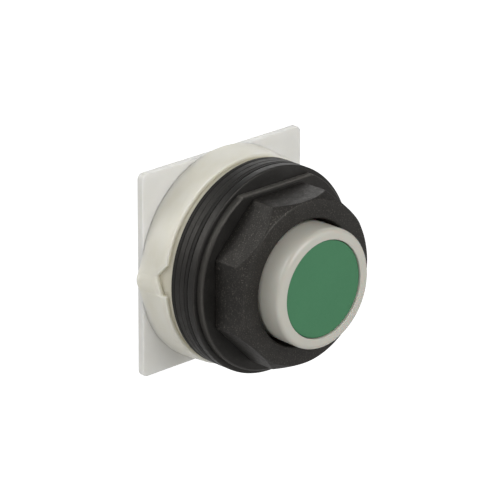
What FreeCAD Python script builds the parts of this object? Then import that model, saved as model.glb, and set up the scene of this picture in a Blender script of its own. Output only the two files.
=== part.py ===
"""Industrial push button: a 30 mm class panel operator with an extended button.

The row frame has +Z up and the button facing -Y. Its origin is on the button's axis, in the plane where the
panel's rear face sits on the front gasket. Every length is in millimetres. A station is a distance along Y
from that plane: negative stations are in front of the panel's rear face, positive ones behind it.
"""
import FreeCAD, Part
import math
import os
import Sketcher
from FreeCAD import Placement, Rotation, Vector

os.makedirs("parts", exist_ok=True)
doc = FreeCAD.newDocument("PushButton")
sheet = doc.addObject("Spreadsheet::Sheet", "Sizes")

# ---------------------------------------------------------------------------------------------------------
# Driving dimensions
# ---------------------------------------------------------------------------------------------------------
DRIVING = {
    # stations along Y
    "stack_rear": 4.6,              # where the four rings end and the drum's neck starts
    "drum_front": 6.0,
    "drum_rear": 12.45,
    "disc_rear": -0.1,
    "washer_rear": -1.8,
    "nut_rear": -3.35,
    "nut_front": -11.4,
    "bushing_front": -9.5,
    "flange_front": 7.2,
    "flange_rear": 9.0,
    "cap_front": -16.3,
    "cap_rear": -7.0,
    "pad_rear": 13.65,
    # drum and plate
    "plate_wide": 43.0,
    "plate_high": 42.6,
    "plate_thick": 1.6,
    "plate_corner": 1.2,
    "drum_radius_rear": 22.2,
    "drum_radius_front": 21.85,
    "neck_radius": 20.75,
    "drum_bore": 15.0,
    "cavity_radius": 19.5,
    "pointer_reach": 1.1,
    "pointer_half": 5.6,
    "pointer_tip_half": 0.9,
    "pointer_shoulder": 20.4,
    "pointer_front": 9.5,
    "notch_top": 4.3,
    "notch_bottom": -2.2,
    "notch_deep": 2.4,
    "notch_deep_height": 1.5,
    "notch_step": 1.1,              # how deep the notch still is where it ends
    "notch_inner": 20.95,           # the notch opens the outer wall and leaves the neck behind it
    "lap": 0.5,                     # how far a joined feature reaches into its neighbour
    "screw_circle": 17.2,
    "boss_radius": 2.4,
    "pilot_radius": 1.05,
    "pilot_floor": 5.6,
    "nib_wide": 4.4,
    "nib_foot": 15.2,
    "nib_top": 17.4,
    "nib_front": -1.5,
    # rings of the rear stack
    "ring_radius": 21.35,
    "ring_bore": 15.15,
    "ring_slot_wide": 5.2,
    "ring_slot_top": 17.75,
    "ring_edge": 0.14,
    "ring_gap": 0.02,
    "drum_gasket_thick": 1.1,
    "rear_spacer_thick": 1.35,
    "front_spacer_thick": 1.23,
    "panel_gasket_thick": 0.92,
    # clamp parts
    "disc_edge": 0.35,
    "washer_radius": 20.4,
    "washer_flat": 18.05,
    "washer_edge": 0.35,
    "washer_flat_edge": 0.45,
    "nut_flats": 34.0,
    "nut_face_radius": 16.85,
    "nut_chamfer_back": 1.9,
    "nut_chamfer_out": 1.35,
    "nut_bore": 15.1,
    "nut_mouth": 13.05,
    "nut_lip_rear": -9.95,
    "mouth_round": 0.3,
    # bushing
    "thread_crest": 14.75,
    "thread_pitch": 1.5,
    "thread_deep": 0.7,
    "thread_root_half": 0.06,
    "thread_crest_half": 0.5,
    "thread_clear": 0.2,
    "thread_rear": 4.2,
    "bushing_lead_in": 0.6,
    "bushing_well": 12.75,
    "wiper_groove": 13.3,
    "wiper_rear": -7.8,
    "web_front": 1.6,
    "web_rear": 4.0,
    "rear_recess": 11.5,
    "bushing_flange": 18.0,
    "scallop_radius": 2.7,
    "o_ring_wire": 0.52,
    "o_ring_groove_front": 5.3,
    "o_ring_groove_rear": 6.5,
    # seals and spring
    "wiper_inner": 12.55,
    "boot_inner": 7.6,
    "boot_outer": 10.2,
    "boot_wall": 0.7,
    "boot_flange": 12.6,
    "boot_flange_thick": 1.0,
    "boot_front": -12.6,
    "clamp_inner": 9.9,
    "clamp_front": -0.6,
    "spring_radius": 4.9,
    "wire_radius": 0.4,
    "spring_turns": 5.0,
    "seat_inner": 3.4,
    "seat_outer": 6.5,
    "seat_thick": 0.6,
    # button
    "cap_radius_front": 12.36,
    "cap_radius_rear": 12.2,
    "cap_round": 1.6,
    "cap_inner": 10.9,
    "cap_floor_rear": -12.8,
    "insert_radius": 9.98,
    "insert_slack": 0.08,
    "insert_sink": 0.35,
    "insert_thick": 1.5,
    "insert_round": 0.25,
    "recess_deep": 2.0,
    "hub_radius": 7.4,
    "hub_rear": -11.0,
    "spigot_radius": 3.4,
    "spigot_front": -11.8,
    "plunger_flange": 6.0,
    "plunger_flange_rear": -9.6,
    "stem_radius": 3.0,
    "stem_rear": 12.05,
    "screw_head": 2.7,
    "screw_head_thick": 1.1,
    "screw_core": 1.45,
    "screw_seat": -13.1,
    "screw_tip": -4.4,
    "hole_slack": 0.05,
    "bush_outer": 4.55,
    "bush_flange": 6.0,
    "bush_rear": 5.0,
    "clip_front": 5.9,
    "clip_thick": 0.7,
    "clip_groove": 2.4,
    "clip_outer": 5.0,
    "stop_washer_radius": 5.5,
    "pad_hub": 4.6,
    "pad_hub_front": 7.4,
    "pad_disc": 6.6,
    "pad_disc_thick": 2.0,
    "pad_recess": 1.1,
    "rear_screw_head": 2.4,
    "rear_screw_head_thick": 0.9,
    "rear_screw_core": 1.15,
    "rear_screw_tip": 8.0,
    # rear plate and its hardware
    "plate_hole": 7.5,
    "rim_inner": 13.0,
    "rim_outer": 19.2,
    "plate_screw_hole": 1.45,
    "plate_screw_head": 2.4,
    "plate_screw_core": 1.0,
    "plate_screw_tip": 5.9,
    "insert_offset": 16.1,
    "brass_outer": 2.0,
    "brass_bore": 1.25,
    "brass_front": 9.65,
    "brass_waist_deep": 0.35,
    "brass_seat_deep": 0.3,         # how far the plate's blind seats run on past the inserts
    "brass_sink": 0.1,
    # allowances shared by many pieces
    "fit_gap": 0.02,                # air between pieces that seat on each other
    "seat_gap": 0.05,               # air where a seat is looser
    "o_ring_free": 0.01,
    "bush_edge": 0.3,
    "tip_edge": 0.4,                # chamfers on stems, screw points and the pad
    "drill_on": 0.5,                # how far a tapped hole runs on past its screw
    "screw_clear": 0.15,
    "head_clear": 0.2,
    "boot_cuff": 1.6,
    "foot_circle": 7.2,
    "foot_radius": 1.0,
    "foot_lap": 0.2,
    "wiper_nose": 0.35,
    "wiper_relief": 0.1,
    "wiper_land_front": 0.6,
    "wiper_land_rear": 0.5,
    "nut_foot_edge": 0.9,
    "clip_slack": 0.35,
    "clip_lug_half": 0.8,
    "clip_lug_gap": 0.03,
    "clip_mouth_slack": 0.4,
    "past": 2.0,                    # how far cutting outlines run past the piece they cut
}
# proportions that a pan head, a countersunk head and a press-in insert keep at any size
PAN_TOP, PAN_SIDE = 0.72, 0.45
PAN_SLOT_REACH, PAN_SLOT_HALF, PAN_SLOT_DEEP = 0.55, 0.13, 0.5
SUNK_SLOT_LONG, SUNK_SLOT_WIDE, SUNK_SLOT_DEEP = 1.1, 0.26, 0.6
WAIST_START, WAIST_LONG = 0.4, 0.22
NUT_FOOT_FALL = 0.5
BOOT_FOLDS = 3
FOLD_THICKENING = 1.5
NUT_SIDES = 8
CORNERS = 4
INSERT_FEET = 3
NEAR = 1e-4


class Dim:
    """A length that keeps its value together with the sheet expression that gives it."""

    def __init__(self, text, value):
        self.text = text
        self.value = value

    def _join(self, sign, other, value):
        return Dim("(%s %s %s)" % (self.text, sign, other.text), value)

    def __add__(self, other):
        other = as_dim(other)
        return self._join("+", other, self.value + other.value)

    def __sub__(self, other):
        other = as_dim(other)
        return self._join("-", other, self.value - other.value)

    def __mul__(self, other):
        other = as_dim(other)
        return self._join("*", other, self.value * other.value)

    def __truediv__(self, other):
        other = as_dim(other)
        return self._join("/", other, self.value / other.value)

    def __neg__(self):
        return Dim("(0 - %s)" % self.text, -self.value)


def as_dim(number):
    return number if isinstance(number, Dim) else Dim("%.6g" % number, float(number))


class Sizes:
    """Every driving dimension by name, as a Dim bound to its cell."""


for row, (alias, number) in enumerate(DRIVING.items(), start=1):
    sheet.set("A%d" % row, alias)
    sheet.set("B%d" % row, "%g" % number)
    sheet.setAlias("B%d" % row, alias)
    setattr(Sizes, alias, Dim("Sizes.%s" % alias, float(number)))
doc.recompute()
S = Sizes
ZERO = 0.0
TINY = 1e-9
COS_NUT_CORNER = math.cos(math.pi / NUT_SIDES)
COS_45 = math.cos(math.pi / CORNERS)


# ---------------------------------------------------------------------------------------------------------
# Modelling helpers
# ---------------------------------------------------------------------------------------------------------
def bind(thing, prop, dim):
    """Give a property the value of a sheet expression."""
    thing.setExpression(prop, as_dim(dim).text)


def new_body(label, station=ZERO):
    """A body whose own Y = 0 plane stands at a station of the row frame."""
    body = doc.addObject("PartDesign::Body", label)
    body.Label = label
    station = as_dim(station)
    body.Placement = Placement(Vector(0, station.value, 0), Rotation())
    bind(body, "Placement.Base.y", station)
    return body


def new_sketch(body, name, plane="XY_Plane"):
    """A sketch on one of the body's own origin planes. XY holds radius and depth, XZ holds a front view."""
    sketch = body.newObject("Sketcher::SketchObject", name)
    support = [feature for feature in body.Origin.OriginFeatures if feature.Role == plane][0]
    sketch.AttachmentSupport = [(support, "")]
    sketch.MapMode = "FlatFace"
    return sketch


def fix_point(sketch, geometry, end, axis, dim):
    """Fix one coordinate of a point. A zero puts the point on the other axis instead."""
    dim = as_dim(dim)
    other_axis = {"X": -2, "Y": -1}[axis]
    if abs(dim.value) < TINY:
        sketch.addConstraint(Sketcher.Constraint("PointOnObject", geometry, end, other_axis))
        return
    index = sketch.addConstraint(
        Sketcher.Constraint("Distance" + axis, -1, 1, geometry, end, dim.value))
    name = "%s_%d" % (axis.lower(), index)
    sketch.renameConstraint(index, name)
    bind(sketch, "Constraints." + name, dim)


def outline(sketch, points):
    """A closed polygon whose every corner is bound to the sheet."""
    corners = [(as_dim(x), as_dim(y)) for x, y in points]
    first = sketch.GeometryCount
    for here, there in zip(corners, corners[1:] + corners[:1]):
        sketch.addGeometry(Part.LineSegment(
            Vector(here[0].value, here[1].value, 0), Vector(there[0].value, there[1].value, 0)), False)
    count = len(corners)
    for step in range(count):
        follower = first + (step + 1) % count
        sketch.addConstraint(Sketcher.Constraint("Coincident", first + step, 2, follower, 1))
    for step, (x, y) in enumerate(corners):
        fix_point(sketch, first + step, 1, "X", x)
        fix_point(sketch, first + step, 1, "Y", y)


def circle(sketch, x, y, radius):
    x, y, radius = as_dim(x), as_dim(y), as_dim(radius)
    index = sketch.addGeometry(Part.Circle(Vector(x.value, y.value, 0), Vector(0, 0, 1), radius.value), False)
    fix_point(sketch, index, 3, "X", x)
    fix_point(sketch, index, 3, "Y", y)
    number = sketch.addConstraint(Sketcher.Constraint("Radius", index, radius.value))
    name = "radius_%d" % number
    sketch.renameConstraint(number, name)
    bind(sketch, "Constraints." + name, radius)


def turned(label, station, points):
    """A body of revolution about Y, from corners of (radius, depth behind the station)."""
    body = new_body(label, station)
    sketch = new_sketch(body, label + "_section")
    outline(sketch, points)
    solid = body.newObject("PartDesign::Revolution", label + "_turned")
    solid.Profile = sketch
    solid.ReferenceAxis = (sketch, ["V_Axis"])
    solid.Angle = 360.0
    sketch.Visibility = False
    doc.recompute()
    return body


def grooved(body, name, points):
    """Turn a groove or a cone off a body."""
    before = body.Shape.Volume
    sketch = new_sketch(body, name + "_section")
    outline(sketch, points)
    groove = body.newObject("PartDesign::Groove", name)
    groove.Profile = sketch
    groove.ReferenceAxis = (sketch, ["V_Axis"])
    groove.Angle = 360.0
    doc.recompute()
    require_change(body, before, name, smaller=True)
    return groove


def front_view_feature(body, kind, name, draw, start, length):
    """Pad or pocket a front-view sketch from depth start to depth start + length, in the body's own Y."""
    before = body.Shape.Volume if body.Tip else 0.0
    sketch = new_sketch(body, name + "_outline", "XZ_Plane")
    draw(sketch)
    # the front-view sketch looks along +Y, so its own normal points to -Y
    start = as_dim(start)
    sketch.AttachmentOffset = Placement(Vector(0, 0, -start.value), Rotation())
    if start.text != "0":
        bind(sketch, "AttachmentOffset.Base.z", -start)
    feature = body.newObject("PartDesign::" + kind, name)
    feature.Profile = sketch
    feature.Reversed = kind == "Pad"
    bind(feature, "Length", length)
    doc.recompute()
    require_change(body, before, name, smaller=kind == "Pocket")
    return feature


def require_change(body, before, name, smaller):
    after = body.Shape.Volume
    if smaller != (after < before - TINY) or after == before:
        raise RuntimeError("%s leaves %s at %.4f, from %.4f" % (name, body.Label, after, before))


def around(body, feature, count, name):
    """Repeat a feature evenly about the body's own Y axis."""
    pattern = body.newObject("PartDesign::PolarPattern", name)
    pattern.Originals = [feature]
    axis = [item for item in body.Origin.OriginFeatures if item.Role == "Y_Axis"][0]
    pattern.Axis = (axis, [""])
    pattern.Angle = 360.0
    pattern.Occurrences = count
    body.Tip = pattern
    doc.recompute()
    return pattern


def edges_where(shape, test):
    return ["Edge%d" % (index + 1) for index, edge in enumerate(shape.Edges) if test(edge)]


def ring_edge(radius, depth):
    """Picks the full or broken circles of one radius at one depth of the body's own Y."""
    def test(edge):
        curve = edge.Curve
        return (isinstance(curve, Part.Circle) and abs(curve.Radius - radius.value) < NEAR
                and abs(curve.Center.y - depth.value) < NEAR and abs(curve.Center.x) < NEAR)
    return test


def dress(body, kind, name, tests, size):
    """A fillet or a chamfer on the edges that the tests pick."""
    base = body.Tip
    picked = []
    for test in tests:
        found = edges_where(base.Shape, test)
        if not found:
            raise RuntimeError("%s finds no edge for %s" % (body.Label, name))
        picked += found
    feature = body.newObject("PartDesign::" + kind, name)
    feature.Base = (base, picked)
    bind(feature, "Radius" if kind == "Fillet" else "Size", size)
    doc.recompute()
    return feature


def box_outline(x_low, x_high, z_low, z_high):
    """Draws a rectangle in a front-view sketch."""
    def draw(sketch):
        outline(sketch, [(x_low, z_low), (x_high, z_low), (x_high, z_high), (x_low, z_high)])
    return draw


def circle_outline(x, z, radius):
    """Draws a circle in a front-view sketch."""
    def draw(sketch):
        circle(sketch, x, z, radius)
    return draw


def octagon_outline(apothem):
    """Draws an octagon with flats at the top, bottom and sides."""
    corner = apothem / COS_NUT_CORNER

    def draw(sketch):
        outline(sketch, [
            (corner * math.cos(math.radians(angle)), corner * math.sin(math.radians(angle)))
            for angle in [(step + 0.5) * 360.0 / NUT_SIDES for step in range(NUT_SIDES)]])
    return draw


def ring(label, front, rear, inner, outer, edge=None):
    """A plain ring between two stations, with its outer edges broken."""
    body = turned(label, front, [
        (inner, ZERO), (outer, ZERO), (outer, rear - front), (inner, rear - front)])
    if edge is not None:
        dress(body, "Chamfer", label + "_edges",
              [ring_edge(outer, as_dim(ZERO)), ring_edge(outer, rear - front)], edge)
    return body


# ---------------------------------------------------------------------------------------------------------
# Drum shell: the translucent moulding behind the panel
# ---------------------------------------------------------------------------------------------------------
def make_drum_shell():
    neck_to = lambda station: station - S.stack_rear
    depth = neck_to(S.drum_rear)
    body = turned("drum_shell", S.stack_rear, [
        (S.drum_bore, ZERO),
        (S.neck_radius, ZERO),
        (S.neck_radius, neck_to(S.drum_front)),
        (S.drum_radius_front, neck_to(S.drum_front)),
        (S.drum_radius_rear, depth),
        (S.cavity_radius, depth),
        (S.cavity_radius, neck_to(S.flange_front)),
        (S.drum_bore, neck_to(S.flange_front)),
    ])
    # the pointer: a low bump on the rear of the drum's left side
    tip = -(S.drum_radius_rear + S.pointer_reach)
    shoulder = -S.pointer_shoulder
    foot = -(S.cavity_radius + S.lap)
    front_view_feature(body, "Pad", "drum_pointer", lambda sketch: outline(sketch, [
        (tip, -S.pointer_tip_half), (tip, S.pointer_tip_half),
        (shoulder, S.pointer_half), (foot, S.pointer_half),
        (foot, -S.pointer_half), (shoulder, -S.pointer_half)]),
        neck_to(S.pointer_front), S.drum_rear - S.pointer_front)
    cut_notch(body)
    # the nib that keys the operator into the panel hole's slot
    front_view_feature(body, "Pad", "drum_nib", box_outline(
        -(S.nib_wide / 2), S.nib_wide / 2, S.nib_foot, S.nib_top),
        S.nib_front - S.stack_rear, S.stack_rear - S.nib_front + S.lap)
    # four bosses stand between the drum's front wall and the rear plate's rim
    across = S.screw_circle * COS_45
    boss = front_view_feature(body, "Pad", "drum_boss", circle_outline(across, across, S.boss_radius),
                              neck_to(S.flange_front) - S.lap, S.flange_rear - S.flange_front + S.lap)
    around(body, boss, CORNERS, "drum_bosses")
    pilot = front_view_feature(body, "Pocket", "drum_pilot", circle_outline(across, across, S.pilot_radius),
                               neck_to(S.pilot_floor), S.flange_rear - S.pilot_floor)
    around(body, pilot, CORNERS, "drum_pilots")
    return body


def cut_notch(body):
    """A lopsided V notch at nine o'clock in the front edge of the drum's outer wall, cut from the side."""
    before = body.Shape.Volume
    sketch = new_sketch(body, "drum_notch_outline", "YZ_Plane")
    sketch.AttachmentOffset = Placement(Vector(0, 0, -S.notch_inner.value), Rotation())
    bind(sketch, "AttachmentOffset.Base.z", -S.notch_inner)
    lip = S.drum_front - S.stack_rear
    outline(sketch, [
        (lip - S.lap, S.notch_bottom), (lip + S.notch_step, S.notch_bottom),
        (lip + S.notch_deep, S.notch_deep_height), (lip, S.notch_top), (lip - S.lap, S.notch_top)])
    notch = body.newObject("PartDesign::Pocket", "drum_notch")
    notch.Profile = sketch
    bind(notch, "Length", S.drum_radius_rear + S.pointer_reach)
    doc.recompute()
    require_change(body, before, "drum_notch", smaller=True)


def make_o_ring():
    """A rubber torus in the bushing's groove, just touching the drum's bore."""
    middle = (S.o_ring_groove_front + S.o_ring_groove_rear) / 2
    torus = doc.addObject("Part::Torus", "bushing_o_ring")
    torus.Label = "bushing_o_ring"
    bind(torus, "Radius1", S.drum_bore - S.o_ring_wire - S.o_ring_free)
    bind(torus, "Radius2", S.o_ring_wire)
    torus.Placement = Placement(Vector(0, middle.value, 0), Rotation(Vector(1, 0, 0), 90))
    bind(torus, "Placement.Base.y", middle)
    return torus


# ---------------------------------------------------------------------------------------------------------
# Threaded bushing: the black sleeve that passes through the panel
# ---------------------------------------------------------------------------------------------------------
def make_bushing():
    at = lambda station: as_dim(station) - S.bushing_front
    crest = S.thread_crest
    groove_floor = S.drum_bore - S.o_ring_wire - S.o_ring_wire - S.fit_gap
    body = turned("threaded_bushing", S.bushing_front, [
        (S.wiper_groove, ZERO),
        (crest - S.bushing_lead_in, ZERO),
        (crest, S.bushing_lead_in),
        (crest, at(S.o_ring_groove_front)),
        (groove_floor, at(S.o_ring_groove_front)),
        (groove_floor, at(S.o_ring_groove_rear)),
        (crest, at(S.o_ring_groove_rear)),
        (crest, at(S.flange_front)),
        (S.bushing_flange, at(S.flange_front)),
        (S.bushing_flange, at(S.flange_rear)),
        (S.rear_recess, at(S.flange_rear)),
        (S.rear_recess, at(S.web_rear)),
        (S.bush_outer + S.hole_slack, at(S.web_rear)),
        (S.bush_outer + S.hole_slack, at(S.web_front)),
        (S.bushing_well, at(S.web_front)),
        (S.bushing_well, at(S.wiper_rear)),
        (S.wiper_groove, at(S.wiper_rear)),
    ])
    # four scallops let the flange pass the drum's bosses, and stop the bushing turning
    across = S.screw_circle * COS_45
    scallop = front_view_feature(body, "Pocket", "bushing_scallop",
                                 circle_outline(across, across, S.scallop_radius),
                                 at(S.flange_front), S.flange_rear - S.flange_front)
    around(body, scallop, CORNERS, "bushing_scallops")
    cut_thread(body, at(S.thread_rear))
    return body


def cut_thread(body, run_out):
    """A real helical thread, cut from in front of the bushing to the run-out."""
    before = body.Shape.Volume
    sketch = new_sketch(body, "bushing_thread_section")
    start = -S.thread_pitch
    root, clear = S.thread_crest - S.thread_deep, S.thread_crest + S.thread_clear
    flank = (S.thread_crest_half - S.thread_root_half) / S.thread_deep * S.thread_clear
    outline(sketch, [
        (root, start - S.thread_root_half), (clear, start - S.thread_crest_half - flank),
        (clear, start + S.thread_crest_half + flank), (root, start + S.thread_root_half)])
    thread = body.newObject("PartDesign::SubtractiveHelix", "bushing_thread")
    thread.Profile = sketch
    thread.ReferenceAxis = (sketch, ["V_Axis"])
    thread.Mode = "pitch-height-angle"
    bind(thread, "Pitch", S.thread_pitch)
    bind(thread, "Height", run_out + S.thread_pitch)
    thread.Angle = 0.0
    thread.LeftHanded = False
    thread.Reversed = False
    doc.recompute()
    require_change(body, before, "bushing_thread", smaller=True)


def make_guide_bush():
    bore = S.stem_radius + S.hole_slack
    front = S.web_front + S.seat_gap
    return turned("guide_bush", front, [
        (bore, ZERO), (S.bush_outer - S.bush_edge, ZERO), (S.bush_outer, S.bush_edge),
        (S.bush_outer, S.web_rear - front), (S.bush_flange, S.web_rear - front),
        (S.bush_flange, S.bush_rear - front), (bore, S.bush_rear - front)])


# ---------------------------------------------------------------------------------------------------------
# Rear stack: four rings between the drum's neck and the panel
# ---------------------------------------------------------------------------------------------------------
def make_stack():
    rings = []
    front = as_dim(ZERO)
    for label, thick in (("panel_gasket", S.panel_gasket_thick),
                         ("front_spacer", S.front_spacer_thick),
                         ("rear_spacer", S.rear_spacer_thick),
                         ("drum_gasket", S.drum_gasket_thick)):
        body = ring(label, front, front + thick - S.ring_gap, S.ring_bore, S.ring_radius, S.ring_edge)
        cut_ring_slot(body, thick)
        rings.append(body)
        front = front + thick
    return rings


def cut_ring_slot(body, thick):
    """The slot at twelve o'clock that the drum's nib passes through."""
    front_view_feature(body, "Pocket", body.Label + "_slot", box_outline(
        -(S.ring_slot_wide / 2), S.ring_slot_wide / 2, S.ring_bore - S.past, S.ring_slot_top), ZERO, thick)


# ---------------------------------------------------------------------------------------------------------
# Clamp parts in front of the panel
# ---------------------------------------------------------------------------------------------------------
def make_front_disc():
    body = ring("front_disc", S.washer_rear, S.disc_rear, S.ring_bore, S.ring_radius, S.disc_edge)
    cut_ring_slot(body, S.disc_rear - S.washer_rear)
    return body


def make_thrust_washer():
    depth = S.washer_rear - S.nut_rear - S.seat_gap
    station = S.nut_rear + S.seat_gap
    edge = S.washer_edge
    body = turned("thrust_washer", station, [
        (S.ring_bore, ZERO), (S.washer_radius - edge, ZERO), (S.washer_radius, edge),
        (S.washer_radius, depth), (S.ring_bore, depth)])
    beyond = S.washer_radius + S.past
    front_view_feature(body, "Pocket", "washer_flat", box_outline(
        -beyond, beyond, S.washer_flat, beyond), ZERO, depth)
    dress(body, "Chamfer", "washer_flat_edge",
          [straight_edge(depth=ZERO, height=S.washer_flat)], S.washer_flat_edge)
    return body


def straight_edge(depth, height):
    """Picks the straight edges that lie at one depth and one height."""
    depth, height = as_dim(depth), as_dim(height)

    def test(edge):
        box = edge.BoundBox
        return (isinstance(edge.Curve, Part.Line) and box.YLength < NEAR and box.ZLength < NEAR
                and abs(box.YMin - depth.value) < NEAR and abs(box.ZMin - height.value) < NEAR)
    return test


def make_ring_nut():
    """Octagonal nut with a chamfered nose and an inner lip that hides the bushing's mouth."""
    length = S.nut_rear - S.nut_front
    body = new_body("ring_nut", S.nut_front)
    front_view_feature(body, "Pad", "nut_block", octagon_outline(S.nut_flats / 2), ZERO, length)
    lip = S.nut_lip_rear - S.nut_front
    grooved(body, "nut_bore", [
        (ZERO, ZERO), (S.nut_mouth, ZERO), (S.nut_mouth, lip), (S.nut_bore, lip),
        (S.nut_bore, length), (ZERO, length)])
    beyond = S.nut_flats / 2 + S.past * 2
    slope = S.nut_chamfer_out / S.nut_chamfer_back
    grooved(body, "nut_nose", [
        (S.nut_face_radius, ZERO), (beyond, ZERO), (beyond, (beyond - S.nut_face_radius) / slope)])
    dress(body, "Fillet", "nut_mouth_edge", [ring_edge(S.nut_mouth, as_dim(ZERO))], S.mouth_round)
    rear_edge = S.nut_flats / 2 + S.nut_foot_edge
    grooved(body, "nut_foot", [
        (rear_edge, length), (beyond, length), (beyond, length - (beyond - rear_edge) * NUT_FOOT_FALL)])
    return body


# ---------------------------------------------------------------------------------------------------------
# Seals, boot and return spring in the bushing's well
# ---------------------------------------------------------------------------------------------------------
def make_wiper_seal():
    front = S.bushing_front + S.wiper_relief
    depth = S.wiper_rear - front
    return turned("wiper_seal", front, [
        (S.wiper_inner + S.wiper_nose, ZERO), (S.wiper_groove - S.fit_gap, ZERO),
        (S.wiper_groove - S.fit_gap, depth), (S.wiper_inner + S.wiper_relief, depth),
        (S.wiper_inner, depth - S.wiper_land_rear), (S.wiper_inner, S.wiper_land_front)])


def make_boot():
    """A bellows from the cap's hub to the flange clamped on the bushing's web."""
    inner, outer, wall = S.boot_inner, S.boot_outer, S.boot_wall
    flange_front = S.web_front - S.boot_flange_thick
    total = S.web_front - S.boot_front
    bellows_start = S.boot_cuff
    bellows_end = flange_front - S.boot_front
    step = (bellows_end - bellows_start) / (2 * BOOT_FOLDS)
    outside = [(inner + wall, ZERO), (inner + wall, bellows_start)]
    inside = [(inner, ZERO), (inner, bellows_start)]
    for fold in range(BOOT_FOLDS):
        crest = bellows_start + step * (2 * fold + 1)
        root = bellows_start + step * (2 * fold + 2)
        outside.append((outer, crest))
        inside.append((outer - wall * FOLD_THICKENING, crest))
        if fold < BOOT_FOLDS - 1:
            outside.append((inner + wall * FOLD_THICKENING, root))
            inside.append((inner, root))
    outside += [(inner + wall * FOLD_THICKENING, bellows_end),
                (S.boot_flange, bellows_end), (S.boot_flange, total)]
    inside += [(inner, bellows_end), (inner, total)]
    return turned("rubber_boot", S.boot_front, outside + list(reversed(inside)))


def make_clamp_ring():
    return ring("boot_clamp_ring", S.clamp_front, S.web_front - S.boot_flange_thick,
                S.clamp_inner, S.bushing_well - S.hole_slack)


def make_seat_washer():
    return ring("spring_seat_washer", S.web_front - S.seat_thick, S.web_front, S.seat_inner, S.seat_outer)


def make_return_spring():
    """A wire coil between the plunger's flange and the seat washer, with its ends tucked in."""
    front = S.plunger_flange_rear + S.fit_gap
    rear = S.web_front - S.seat_thick - S.fit_gap
    wire = S.wire_radius.value
    run = rear.value - front.value - 2 * wire
    radius = S.spring_radius.value
    helix = Part.makeHelix(run / S.spring_turns.value, run, radius)
    section = Part.Wire([Part.makeCircle(wire, Vector(radius, 0, 0), Vector(0, 1, 0))])
    coil = Part.Wire(helix.Edges).makePipeShell([section], True, True)
    spring = doc.addObject("Part::Feature", "return_spring")
    spring.Label = "return_spring"
    spring.Shape = coil
    spring.Placement = Placement(Vector(0, front.value + wire, 0), Rotation(Vector(1, 0, 0), -90))
    return spring


# ---------------------------------------------------------------------------------------------------------
# The button: cap, insert, plunger and what is fixed to them
# ---------------------------------------------------------------------------------------------------------
def make_cap():
    at = lambda station: as_dim(station) - S.cap_front
    recess = S.insert_radius + S.insert_slack
    body = turned("button_cap", S.cap_front, [
        (recess, ZERO),
        (S.cap_radius_front, ZERO),
        (S.cap_radius_rear, at(S.cap_rear)),
        (S.cap_inner, at(S.cap_rear)),
        (S.cap_inner, at(S.cap_floor_rear)),
        (S.hub_radius, at(S.cap_floor_rear)),
        (S.hub_radius, at(S.hub_rear)),
        (S.spigot_radius + S.hole_slack, at(S.hub_rear)),
        (S.spigot_radius + S.hole_slack, at(S.spigot_front)),
        (S.screw_core + S.screw_clear, at(S.spigot_front)),
        (S.screw_core + S.screw_clear, at(S.screw_seat)),
        (S.screw_head + S.head_clear, at(S.screw_seat)),
        (S.screw_head + S.head_clear, S.recess_deep),
        (recess, S.recess_deep),
    ])
    dress(body, "Fillet", "cap_edge_round", [ring_edge(S.cap_radius_front, as_dim(ZERO))], S.cap_round)
    dress(body, "Fillet", "cap_recess_round", [ring_edge(recess, as_dim(ZERO))], S.insert_round)
    return body


def make_insert():
    front = S.cap_front + S.insert_sink
    body = ring_disc("color_insert", front, S.insert_thick, S.insert_radius)
    dress(body, "Fillet", "insert_edge_round", [ring_edge(S.insert_radius, as_dim(ZERO))], S.insert_round)
    # three feet seat the insert on the recess floor
    floor = S.cap_front + S.recess_deep - S.fit_gap
    foot = front_view_feature(body, "Pad", "insert_foot", circle_outline(ZERO, S.foot_circle, S.foot_radius),
                              S.insert_thick - S.foot_lap, floor - front - S.insert_thick + S.foot_lap)
    around(body, foot, INSERT_FEET, "insert_feet")
    return body


def ring_disc(label, front, thick, radius):
    return turned(label, front, [(ZERO, ZERO), (radius, ZERO), (radius, thick), (ZERO, thick)])


def pan_screw(label, seat, head_radius, head_thick, core, tip, facing):
    """A pan-head screw on the axis. facing is -1 where its head points to -Y, +1 where it points to +Y."""
    length = (tip - seat) if facing < 0 else (seat - tip)
    station = (seat - head_thick) if facing < 0 else tip
    total = length + head_thick
    profile = [(ZERO, ZERO), (head_radius * PAN_TOP, ZERO), (head_radius, head_thick * PAN_SIDE),
               (head_radius, head_thick), (core, head_thick), (core, total - S.tip_edge),
               (core - S.tip_edge, total), (ZERO, total)]
    if facing > 0:
        profile = [(radius, total - as_dim(depth)) for radius, depth in profile]
    body = turned(label, station, profile)
    arm = head_radius * PAN_SLOT_REACH
    bar = head_radius * PAN_SLOT_HALF
    depth = head_thick * PAN_SLOT_DEEP
    start = as_dim(ZERO) if facing < 0 else total - depth
    for name, reach_x, reach_z in (("_slot_across", arm, bar), ("_slot_upright", bar, arm)):
        front_view_feature(body, "Pocket", label + name,
                           box_outline(-reach_x, reach_x, -reach_z, reach_z), start, depth)
    return body


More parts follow.
